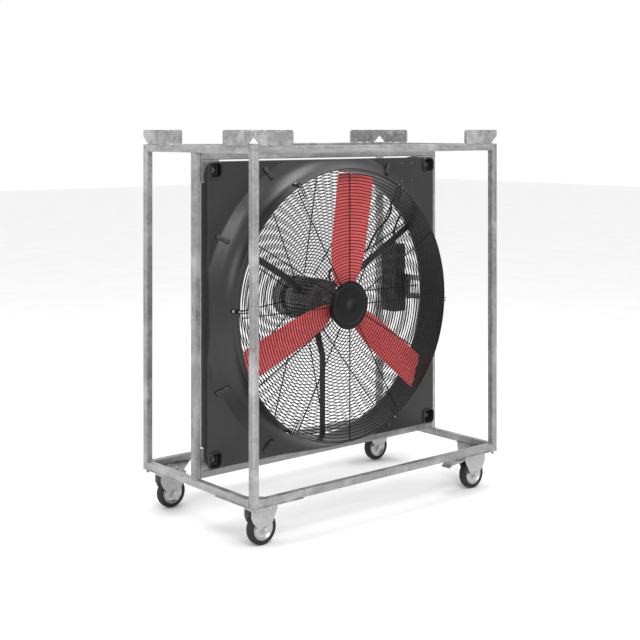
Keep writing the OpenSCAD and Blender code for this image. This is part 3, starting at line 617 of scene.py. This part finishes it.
def make_casters():
    for name, sx, sy in CORNERS:
        swivel, wheel = "swivel_" + name, "wheel_" + name
        softened("fork_" + name, 1.4 * MM, swivel, "zinc_plated_steel", "zinc", 3)
        softened("axle_" + name, 0.8 * MM, swivel, "bright_zinc", "bolt")
        centre = middle("tyre_" + name)
        tyre_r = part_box("tyre_" + name)[1].z - centre.z
        rim_r = 0.72 * tyre_r
        half = 20 * MM
        tread = [
            (rim_r - 0.5 * MM, -17 * MM), (rim_r + 1.5 * MM, -half),
            (rim_r + 5 * MM, -half + 0.6 * MM), (rim_r + 7 * MM, -half + 1.4 * MM),
            (tyre_r - 9 * MM, -half + 0.4 * MM), (tyre_r - 5 * MM, -half + 1.6 * MM),
            (tyre_r - 2.4 * MM, -half + 4.6 * MM), (tyre_r - 0.9 * MM, -half + 9 * MM),
            (tyre_r - 0.1 * MM, -5 * MM),
        ]
        tyre = lathe("tyre_rubber_" + name, both_sides(tread), centre, 144)
        finish_piece(tyre, wheel, "black_rubber", "rubber", "tyre_" + name)
        dish = [
            (6.2 * MM, -22 * MM), (11 * MM, -22 * MM), (13 * MM, -20.5 * MM), (14.5 * MM, -13 * MM),
            (18 * MM, -9.5 * MM), (rim_r - 17 * MM, -7 * MM), (rim_r - 10 * MM, -9 * MM),
            (rim_r - 6 * MM, -15 * MM), (rim_r - 3.5 * MM, -17.6 * MM), (rim_r - 0.6 * MM, -18 * MM),
        ]
        rim = lathe("pressed_rim_" + name, both_sides(dish), centre, 96)
        finish_piece(rim, wheel, "zinc_rim", "wheel_rim", "wheel_rim_" + name)
    softened("caster_plates", 1.0 * MM, "trolley", "zinc_plated_steel", "zinc")
    softened("gusset_plates", 0.8 * MM, "trolley", "galvanised_plate", "plate")
    for side, corner in (("front", "front_right"), ("rear", "rear_right")):
        softened("brake_pedal_" + side, 0.8 * MM, "brake_pedal_" + side, "zinc_plated_steel", "zinc")


# ---- fan housing ------------------------------------------------------------------------

CORNER_R = 60 * MM
POCKET = 66 * MM
POCKET_R = 18 * MM
FRAME_Y = -1 * MM
SIDE_WALL = 624 * MM
POCKET_X = HOUSING_HALF_W - 8 * MM - POCKET / 2
POCKET_Z = HOUSING_HALF_H - 8 * MM - POCKET / 2


def boundary(angle, inset):
    """Distance from the fan's axis to the housing's rounded edge, less inset, in a direction."""
    half_w, half_h, r = HOUSING_HALF_W - inset, HOUSING_HALF_H - inset, CORNER_R - inset
    c, s = abs(math.cos(angle)), abs(math.sin(angle))
    flat = min(half_w / max(c, 1e-9), half_h / max(s, 1e-9))
    x, z = flat * c, flat * s
    cx, cz = half_w - r, half_h - r
    if x <= cx or z <= cz:
        return flat
    along = cx * c + cz * s
    return along + math.sqrt(max(along * along - (cx * cx + cz * cz - r * r), 0))


def housing_ring(segments, radius, y):
    """One loop of the shell; radius(angle) and y(angle) place each of its points."""
    loop = []
    for i in range(segments):
        a = TAU * i / segments
        r = radius(a)
        loop.append(Vector((r * math.cos(a), y(a), FAN_Z + r * math.sin(a))))
    return loop


FLARE_IN = RIM_R + WALL + 6 * MM
FLARE_START = -152 * MM
FLARE_BEND = 110 * MM
FLARE_TURN = math.radians(62)
FLARE_OUT = 92 * MM
EDGE_R = 5 * MM


def flare_y_at(out):
    """Depth of the flare at a distance out from the throat: an arc, a cone, then the flat face."""
    arc_out = FLARE_BEND * (1 - math.cos(FLARE_TURN))
    if out < arc_out:
        return FLARE_START + FLARE_BEND * math.sin(math.acos(1 - max(out, 0) / FLARE_BEND))
    arc_y = FLARE_START + FLARE_BEND * math.sin(FLARE_TURN)
    share = min((out - arc_out) / (FLARE_OUT - arc_out), 1)
    return arc_y + (FACE_Y - arc_y) * share


def make_side_walls():
    """Walls back from the face's sides; the left one is deeper, so no light shows past the post."""
    walls = Bundle()
    for sx, back in ((-1, BACK_Y + 5 * MM), (1, BACK_Y)):
        x0, x1 = sx * (HOUSING_HALF_W - WALL), sx * HOUSING_HALF_W
        ring = [(x0, -4 * MM), (x1, -4 * MM), (x1, back), (x0, back)]
        walls.add(*skin([[Vector((x, y, FAN_Z + z)) for x, y in ring] for z in (-SIDE_WALL, SIDE_WALL)]))
    side_walls = walls.build("housing_side_walls")
    bevelled(side_walls, 1 * MM, 2, 40)
    finish_piece(side_walls, "trolley", "black_moulding", "moulding")


def make_housing():
    """One shell from the back of the throat, round the rim, down the flare and over the face."""
    segments = 360
    loops = []

    def circle(r, y):
        loops.append(housing_ring(segments, lambda a: r, lambda a: y))

    for out, y in (
        (-4, -6 * MM), (-4, -20 * MM), (-4, FACE_Y), (-2, -70 * MM), (-0.5, -120 * MM),
        (0, RIM_Y + 9 * MM), (0.4, RIM_Y + 4 * MM), (1.6, RIM_Y + 1.2 * MM), (4, RIM_Y),
        (6.5, RIM_Y + 1 * MM), (8, RIM_Y + 3.5 * MM), (7.5, RIM_Y + 7 * MM), (6, RIM_Y + 12 * MM),
        (7, RIM_Y + 19 * MM), (9, FLARE_START - 8 * MM),
    ):
        circle(RIM_R + out * MM, y)
    flare_end = FLARE_IN + FLARE_OUT
    for k in range(25):
        r = FLARE_IN + FLARE_OUT * (k / 24) ** 1.7

        def flare_radius(a, r=r):
            return min(r, boundary(a, EDGE_R))

        def flare_depth(a, r=r):
            return flare_y_at(min(r, boundary(a, EDGE_R)) - FLARE_IN)
        loops.append(housing_ring(segments, flare_radius, flare_depth))

    def edge_depth(a):
        return flare_y_at(boundary(a, EDGE_R) - FLARE_IN)
    for share in (0.25, 0.5, 0.75, 1.0):
        def face_radius(a, share=share):
            outer = boundary(a, EDGE_R)
            inner = min(flare_end, outer)
            return inner + (outer - inner) * share
        loops.append(housing_ring(segments, face_radius, edge_depth))
    for turn in (22, 45, 67, 90):
        a1 = math.radians(turn)
        loops.append(housing_ring(
            segments, lambda a, t=a1: boundary(a, EDGE_R * (1 - math.sin(t))),
            lambda a, t=a1: edge_depth(a) + EDGE_R * (1 - math.cos(t))
        ))
    loops.append(housing_ring(segments, lambda a: boundary(a, 0), lambda a: FRAME_Y - 1 * MM))
    loops.append(housing_ring(segments, lambda a: boundary(a, 1 * MM), lambda a: FRAME_Y))
    loops.append(housing_ring(segments, lambda a: boundary(a, WALL), lambda a: FRAME_Y))
    loops.append(housing_ring(segments, lambda a: boundary(a, WALL), lambda a: FACE_Y + WALL))
    loops.append(housing_ring(
        segments, lambda a: min(boundary(a, WALL + 6 * MM), flare_end - 4 * MM), lambda a: FACE_Y + WALL
    ))
    circle(RIM_R + 14 * MM, FACE_Y + WALL)
    circle(RIM_R + 1.5 * MM, FACE_Y + WALL)
    circle(RIM_R + 1.5 * MM, -6 * MM)
    shell = mesh_object("housing_shell", *skin(loops, closed=True))
    make_side_walls()
    cutter = Bundle()
    for sx in (-1, 1):
        for sz in (-1, 1):
            ring = rounded_square(sx * POCKET_X, FAN_Z + sz * POCKET_Z, POCKET / 2, POCKET / 2, POCKET_R)
            ends = (FACE_Y - 20 * MM, FACE_Y + 8 * MM)
            cutter.add(*skin([[Vector((x, y, z)) for x, z in ring] for y in ends]))
    cut(shell, cutter.build("pocket_cutter"))
    shell.data.polygons.foreach_set("use_smooth", [True] * len(shell.data.polygons))
    shell.modifiers.new("normals", "WEIGHTED_NORMAL")
    apply_all(shell)
    finish_piece(shell, "trolley", "black_moulding", "moulding", "fan_housing")


def make_pockets():
    """Cup of each corner pocket, with a raised lip and a floor; the bolt on it is one of the CAD fasteners."""
    cups = Bundle()
    floor_y = -5 * MM
    for sx in (-1, 1):
        for sz in (-1, 1):
            cx, cz = sx * POCKET_X, FAN_Z + sz * POCKET_Z
            loops = []
            for grow, y in (
                (8.2, FACE_Y + 1 * MM), (7.8, FACE_Y - 3.4 * MM), (6.4, FACE_Y - 6.4 * MM),
                (4.2, FACE_Y - 7.8 * MM), (1.6, FACE_Y - 8.0 * MM), (-0.4, FACE_Y - 6.6 * MM),
                (-1.4, FACE_Y - 3.8 * MM), (-2.6, floor_y - 6 * MM), (-4.0, floor_y - 2 * MM), (-8.0, floor_y),
            ):
                half = POCKET / 2 + grow * MM
                ring = rounded_square(cx, cz, half, half, POCKET_R + grow * MM)
                loops.append([Vector((x, y, z)) for x, z in ring])
            verts, faces = skin(loops, caps=False)
            faces.append(tuple(range(len(verts) - len(loops[0]), len(verts))))
            cups.add(verts, faces)
    obj = cups.build("pocket_cups")
    obj.modifiers.new("normals", "WEIGHTED_NORMAL")
    apply_all(obj)
    finish_piece(obj, "trolley", "black_moulding", "moulding")


def button_bolt(bundle, x, z, y, radius, height):
    """Washer and domed head facing the front; its steps are shares of the radius and the height."""
    steps = [(1.5, 0), (1.5, 0.22), (1.35, 0.32), (1, 0.32), (1, 0.7), (0.85, 0.92), (0.5, 1.04), (0.28, 1.06)]
    turns = [TAU * k / 24 for k in range(24)]
    loops = []
    for r, h in steps:
        reach = radius * r
        place = y - height * h
        loops.append([Vector((x + reach * math.cos(a), place, z + reach * math.sin(a))) for a in turns])
    bundle.add(*skin(loops))


def flare_clip(bundle, x, z):
    """Clip lying along the radius on the flare, with two ears and a waist. Returns its top's depth."""
    out = Vector((x, 0, z)).normalized()
    side = Vector((-out.z, 0, out.x))
    half = [(-31, 9), (-27, 12), (-13, 12), (-9, 8), (9, 8), (13, 12), (27, 12), (31, 9)]
    ring = half + [(a, -b) for a, b in reversed(half)]
    seat = Vector((x, 0, z)).length - FLARE_IN
    loops = []
    for shrink, lift in ((0, -2.5), (0, 6), (1, 8), (2.5, 9)):
        loop = []
        for a, b in ring:
            along, across = a - math.copysign(shrink, a), b - math.copysign(shrink, b)
            base = Vector((x, flare_y_at(seat + a * MM) - lift * MM, FAN_Z + z))
            loop.append(base + out * along * MM + side * across * MM)
        loops.append(loop)
    bundle.add(*skin(loops))
    return flare_y_at(seat) - 8 * MM


def make_face_screws():
    """Black clips with a screw each on the flare, and four small dull screws at the top right."""
    dark, dull = Bundle(), Bundle()
    for clip_x, clip_z in ((675 * MM, 358 * MM), (398 * MM, 664 * MM)):
        for x in (-clip_x, clip_x):
            for z in (-clip_z, clip_z):
                top = flare_clip(dark, x, z)
                button_bolt(dark, x, FAN_Z + z, top, 6.5 * MM, 7 * MM)
    for x in (511 * MM, 582 * MM):
        for z in (600 * MM, 693 * MM):
            button_bolt(dull, x, FAN_Z + z, FACE_Y, 3.6 * MM, 3 * MM)
    finish_piece(dark.build("flare_screws"), "trolley", "black_steel", "strut")
    finish_piece(dull.build("bracket_screws"), "trolley", "bright_zinc", "dull_bolt_and_pocket_shade")


# ---- guards -----------------------------------------------------------------------------

RING_PITCH = 15.7 * MM
RING_WIRE = 2.4 * MM
RADIAL_WIRE = 3.0 * MM
RADIALS = 12
DISC_R = 117 * MM
GUARD_R = RIM_R - 6 * MM
EYELET_WIRE = 2.5 * MM
EYELET_TURN = -2.5
EAR_END_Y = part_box("front_guard")[1].y


def eyelet_path(angle):
    """A wire doubled into a loop, out over the rim and back along the bell's outside."""
    half, bend, eye = 6.5 * MM, 8 * MM, 8 * MM
    side = on_fan(1, angle + 90, 0) - on_fan(0, 0, 0)
    r = FLARE_IN + EYELET_WIRE
    leg = [(GUARD_R - 56 * MM, GUARD_Y), (r - bend, GUARD_Y)]
    leg += [(r - bend + bend * math.sin(math.radians(t)), GUARD_Y + bend - bend * math.cos(math.radians(t)))
            for t in (22, 45, 67, 90)]
    leg += [(r, EAR_END_Y - 26 * MM)]
    out = [on_fan(q, angle, y) - side * half for q, y in leg]
    turn = [on_fan(r, angle, EAR_END_Y - eye - EYELET_WIRE + eye * math.sin(math.radians(t)))
            - side * eye * math.cos(math.radians(t)) for t in range(0, 181, 20)]
    back = [on_fan(q, angle, y) + side * half for q, y in reversed(leg)]
    return out + turn + back


def make_front_guard():
    """Concentric wires welded on twelve radials, with six looped eyelets bent over the rim."""
    guard = Bundle()
    count = int((GUARD_R - DISC_R) / RING_PITCH)
    for i in range(count + 1):
        r = GUARD_R - i * RING_PITCH
        guard.wire(ring_points(r, GUARD_Y - 0.1 * MM, 96 + 2 * int(60 * r)), RING_WIRE, 6, closed=True)
    for i in range(RADIALS):
        a = 360 / RADIALS * i
        guard.wire([on_fan(DISC_R - 8 * MM, a, GUARD_Y), on_fan(GUARD_R, a, GUARD_Y)], RADIAL_WIRE, 8)
    for i in range(6):
        guard.wire(eyelet_path(60 * i + EYELET_TURN), EYELET_WIRE, 8)
    finish_piece(guard.build("front_guard_wires"), "trolley", "black_wire", "wire", "front_guard")


def make_guard_disc():
    """Pressed disc with a rolled edge and two shallow steps, and a dished ring behind it."""
    y = GUARD_Y - 2.5 * MM
    profile = [
        (0.001, y - 8.0 * MM), (40 * MM, y - 8.0 * MM), (84 * MM, y - 7.2 * MM), (93 * MM, y - 6.6 * MM),
        (96 * MM, y - 5.0 * MM), (100 * MM, y - 4.8 * MM), (104 * MM, y - 6.2 * MM), (110 * MM, y - 6.4 * MM),
        (DISC_R - 3 * MM, y - 5.0 * MM), (DISC_R - 0.5 * MM, y - 3.0 * MM), (DISC_R, y - 1.2 * MM),
        (DISC_R - 1.2 * MM, y), (0.001, y),
    ]
    disc = lathe("centre_disc", profile, (0, 0, FAN_Z), 120)
    finish_piece(disc, "trolley", "black_disc", "disc", "guard_disc")
    back = GUARD_Y + 2.7 * MM
    dish = [
        (DISC_R - 14 * MM, back), (DISC_R - 1.5 * MM, back), (DISC_R, back + 2 * MM),
        (DISC_R - 1 * MM, back + 10 * MM), (DISC_R - 5 * MM, back + 16 * MM),
        (DISC_R - 12 * MM, back + 18.5 * MM), (60 * MM, back + 20 * MM), (60 * MM, back + 18 * MM),
        (DISC_R - 13 * MM, back + 16.5 * MM), (DISC_R - 7 * MM, back + 14 * MM),
        (DISC_R - 3.5 * MM, back + 9.5 * MM), (DISC_R - 3 * MM, back + 3 * MM),
        (DISC_R - 14 * MM, back + 2 * MM),
    ]
    finish_piece(lathe("disc_dish", dish, (0, 0, FAN_Z), 120), "trolley", "black_disc", "disc")


def make_rear_guard():
    """Shallow cone of rings on twelve radials round the motor."""
    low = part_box("rear_guard")[0]
    mouth_r, neck_r, depth = RIM_R + 14 * MM, 132 * MM, 190 * MM
    mouth_y = low.y + 2.5 * MM
    neck_y = mouth_y + (depth - mouth_y) * (mouth_r - neck_r) / mouth_r
    guard = Bundle()
    count = int((mouth_r - neck_r) / RING_PITCH)
    for i in range(count + 1):
        r = mouth_r - i * (mouth_r - neck_r) / count
        y = mouth_y + (neck_y - mouth_y) * i / count
        guard.wire(ring_points(r, y, 96 + 2 * int(50 * r)), RING_WIRE, 6, closed=True)
    for i in range(RADIALS):
        a = 360 / RADIALS * i + 2
        guard.wire([on_fan(neck_r, a, neck_y), on_fan(mouth_r, a, mouth_y)], RADIAL_WIRE, 8)
    finish_piece(guard.build("rear_guard_wires"), "trolley", "black_wire", "wire", "rear_guard")


# ---- impeller ---------------------------------------------------------------------------

BLADE_CHORD = 188 * MM
BLADE_START = 82
ROOT_PITCH, TIP_PITCH = 20, 17
CAMBER = 0.055
HUB_R = 88 * MM
TIP_R = 655.5 * MM


def blade_width(f):
    """Chord at a share of the span: narrow at the root, nearly even beyond two fifths."""
    stations = [(0, 0.5), (0.07, 0.68), (0.15, 0.84), (0.26, 0.95), (0.4, 1), (1, 1.053)]
    for (f0, w0), (f1, w1) in zip(stations, stations[1:]):
        if f <= f1:
            return BLADE_CHORD * (w0 + (w1 - w0) * (f - f0) / (f1 - f0))
    return BLADE_CHORD * stations[-1][1]


def make_blades():
    """Three twisted, cambered blades with rounded edges."""
    axis_y = [j for j in frame["joints"] if j["name"] == "impeller_spin"][0]["pos_m"][1]
    stations = 32
    for blade in range(3):
        a = math.radians(BLADE_START + 120 * blade)
        radial = Vector((math.cos(a), 0, math.sin(a)))
        tangent = Vector((-math.sin(a), 0, math.cos(a)))
        loops = []
        for i in range(stations + 1):
            f = i / stations
            chord = sum(blade_width(min(max(f + d, 0), 1)) for d in (-0.04, -0.02, 0, 0.02, 0.04)) / 5
            if f > 0.975:
                chord -= 6 * MM * ((f - 0.975) / 0.025) ** 2
            pitch = math.radians(ROOT_PITCH + (TIP_PITCH - ROOT_PITCH) * f)
            chord_dir = tangent * math.cos(pitch) + Vector((0, 1, 0)) * math.sin(pitch)
            normal_dir = Vector((0, 1, 0)) * math.cos(pitch) - tangent * math.sin(pitch)
            ring = []
            for k in range(28):
                t = TAU * k / 28
                s = 0.5 * math.cos(t)
                thick = (3.6 - 0.8 * f) * MM * math.sin(t)
                lift = CAMBER * chord * (1 - 4 * s * s)
                place = Vector((0, axis_y, FAN_Z)) + radial * (HUB_R + f * (TIP_R - HUB_R))
                ring.append(place + chord_dir * s * chord + normal_dir * (lift + thick))
            loops.append(ring)
        obj = mesh_object(f"blade_{blade + 1}", *skin(loops))
        obj.modifiers.new("smooth", "SUBSURF").levels = 1
        obj.modifiers["smooth"].render_levels = 1
        apply_all(obj)
        finish_piece(obj, "impeller", "blade_red", "blade", *(["impeller_blades"] if blade == 0 else []))


# ---- motor, cable and control box -------------------------------------------------------

def make_cable():
    """The motor cable's CAD run, smoothed round, with a gland at each end and clips on the frame."""
    mesh = frame["nodes"]["motor_cable"].data.copy()
    work = bmesh.new()
    work.from_mesh(mesh)
    bmesh.ops.remove_doubles(work, verts=work.verts, dist=0.05 * MM)
    bmesh.ops.join_triangles(
        work, faces=work.faces, angle_face_threshold=math.radians(40), angle_shape_threshold=math.radians(180)
    )
    work.to_mesh(mesh)
    work.free()
    cable = bpy.data.objects.new("cable_sheath", mesh)
    bpy.context.scene.collection.objects.link(cable)
    cable.modifiers.new("round", "SUBSURF").levels = 1
    cable.modifiers["round"].render_levels = 1
    apply_all(cable)
    cable.data.polygons.foreach_set("use_smooth", [True] * len(cable.data.polygons))
    finish_piece(cable, "trolley", "cable_rubber", "cable", "motor_cable")
    glands = Bundle()
    motor_end = Vector((132 * MM, 100 * MM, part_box("terminal_box")[1].z))
    box_end = Vector((710 * MM, 240 * MM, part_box("control_box")[1].z))
    for p in (motor_end, box_end):
        for r, h0, h1, sides in ((11, 0, 7, 6), (9.6, 7, 10, 20), (9.2, 10, 17, 6), (7.4, 17, 20, 20)):
            turns = [TAU * i / sides for i in range(sides)]
            glands.add(*skin([
                [p + Vector((r * MM * math.cos(a), r * MM * math.sin(a), h * MM)) for a in turns]
                for h in (h0, h1)
            ]))
    obj = glands.build("cable_glands")
    bevelled(obj, 0.6 * MM, 2, 40)
    finish_piece(obj, "trolley", "box_plastic", "box")
    clips = Bundle()
    post_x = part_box("inner_post_right")[0].x
    for z in (1.62, 1.57, 1.52):
        x, y, r = post_x - 9 * MM, 31 * MM, 7.4 * MM
        turns = [TAU * k / 20 for k in range(20)]
        loop = [Vector((x + r * math.cos(a), y + r * math.sin(a), z)) for a in turns]
        clips.wire(loop, 1.6 * MM, 8, closed=True)
    finish_piece(clips.build("cable_clips"), "trolley", "black_moulding", "moulding")


def make_motor():
    """Motor, its struts and the control box from their CAD nodes, and paint on the hidden nodes."""
    for node, width, material, slot in (
        ("motor_shell", 0.7, "motor", "motor_black"),
        ("motor_front_shield", 1.2, "motor", "motor_black"),
        ("motor_rear_shield", 1.2, "motor", "motor_black"),
        ("cooling_fan_cover", 0.8, "motor", "motor_black"),
        ("terminal_box", 1.0, "motor", "motor_black"),
        ("terminal_box_lid", 1.0, "motor", "motor_black"),
        ("motor_struts", 1.0, "strut", "black_steel"),
        ("control_box", 2.0, "box", "box_plastic"),
        ("control_box_cover", 1.0, "box", "box_plastic"),
        ("control_box_bracket", 0.6, "plate", "galvanised_plate"),
    ):
        softened(node, width * MM, "trolley", slot, material)
    softened("isolator_knob", 1.2 * MM, "isolator_knob", "knob_red", "knob")
    softened("impeller_hub", 1.5 * MM, "impeller", "hub_black", "hub")
    for node, material in (
        ("stator", "varnish"), ("motor_bearings", "steel"), ("rotor_shaft", "steel"), ("cooling_fan", "nylon")
    ):
        mesh = frame["nodes"][node].data
        mesh.materials.clear()
        mesh.materials.append(MATERIALS[material])


def make_fasteners():
    """The CAD bolts with rounded edges: bright on the casters and the guard; the bolts in the corner pockets
    get the dark dull zinc as painted shade of their recess.
    """
    bolts = softened("fasteners", 0.7 * MM, "trolley", "bright_zinc", "bolt")
    bolts.data.materials.append(MATERIALS["dull_bolt_and_pocket_shade"])
    for face in bolts.data.polygons:
        x, y, z = face.center
        # Bolts inside the recessed corner pockets take the darker zinc: painted shade of the recess.
        in_pocket_shade = abs(x) > POCKET_X - 20 * MM and abs(z - FAN_Z) > POCKET_Z - 20 * MM and abs(y) < 60 * MM
        face.material_index = 1 if in_pocket_shade else 0


# ---- studio -----------------------------------------------------------------------------

# The camera stands level, with its lens shifted down, so upright tubes stay upright in the picture.
CAMERA_PLACE = (-4.114, -4.814, 1.869)
CAMERA_YAW = 40.29
CAMERA_LENS = 70.0
CAMERA_SHIFT = -0.2978


def make_camera():
    data = bpy.data.cameras.new("camera")
    data.lens = CAMERA_LENS
    data.sensor_width = 36
    data.shift_y = CAMERA_SHIFT
    camera = bpy.data.objects.new("camera", data)
    camera.location = CAMERA_PLACE
    camera.rotation_euler = (math.pi / 2, 0, -math.radians(CAMERA_YAW))
    bpy.context.scene.collection.objects.link(camera)
    bpy.context.scene.camera = camera


def area_light(name, place, target, size, power):
    data = bpy.data.lights.new(name, "AREA")
    data.shape = "RECTANGLE"
    data.size, data.size_y = size
    data.energy = power
    light = bpy.data.objects.new(name, data)
    light.location = place
    light.rotation_euler = (Vector(target) - Vector(place)).to_track_quat("-Z", "Y").to_euler()
    bpy.context.scene.collection.objects.link(light)


def make_studio():
    """Plain white surroundings and a pale floor, with soft light from the front left."""
    bpy.context.scene.view_settings.view_transform = "Standard"
    world = bpy.data.worlds.new("studio")
    bpy.context.scene.world = world
    world.use_nodes = True
    background = world.node_tree.nodes["Background"]
    background.inputs["Color"].default_value = (1, 1, 1, 1)
    background.inputs["Strength"].default_value = 1.0
    reach = 30
    corners = [(-reach, -reach, 0), (reach, -reach, 0), (reach, reach, 0), (-reach, reach, 0)]
    floor = mesh_object("floor", corners, [(0, 1, 2, 3)])
    floor.data.materials.append(MATERIALS["floor"])
    area_light("key", (-2.2, -4.6, 4.6), (0, 0, 0.9), (2.4, 2.4), 190)
    area_light("left", (-5.5, 0.6, 3.4), (0, 0, 1.0), (2.0, 2.0), 45)
    area_light("top", (0.4, 0.2, 5.5), (0, 0, 0.8), (3.0, 2.0), 110)


make_camera()
make_studio()
make_tubes()
make_welds()
make_lugs()
make_casters()
make_housing()
make_pockets()
make_face_screws()
make_front_guard()
make_guard_disc()
make_rear_guard()
make_blades()
make_motor()
make_fasteners()
make_cable()
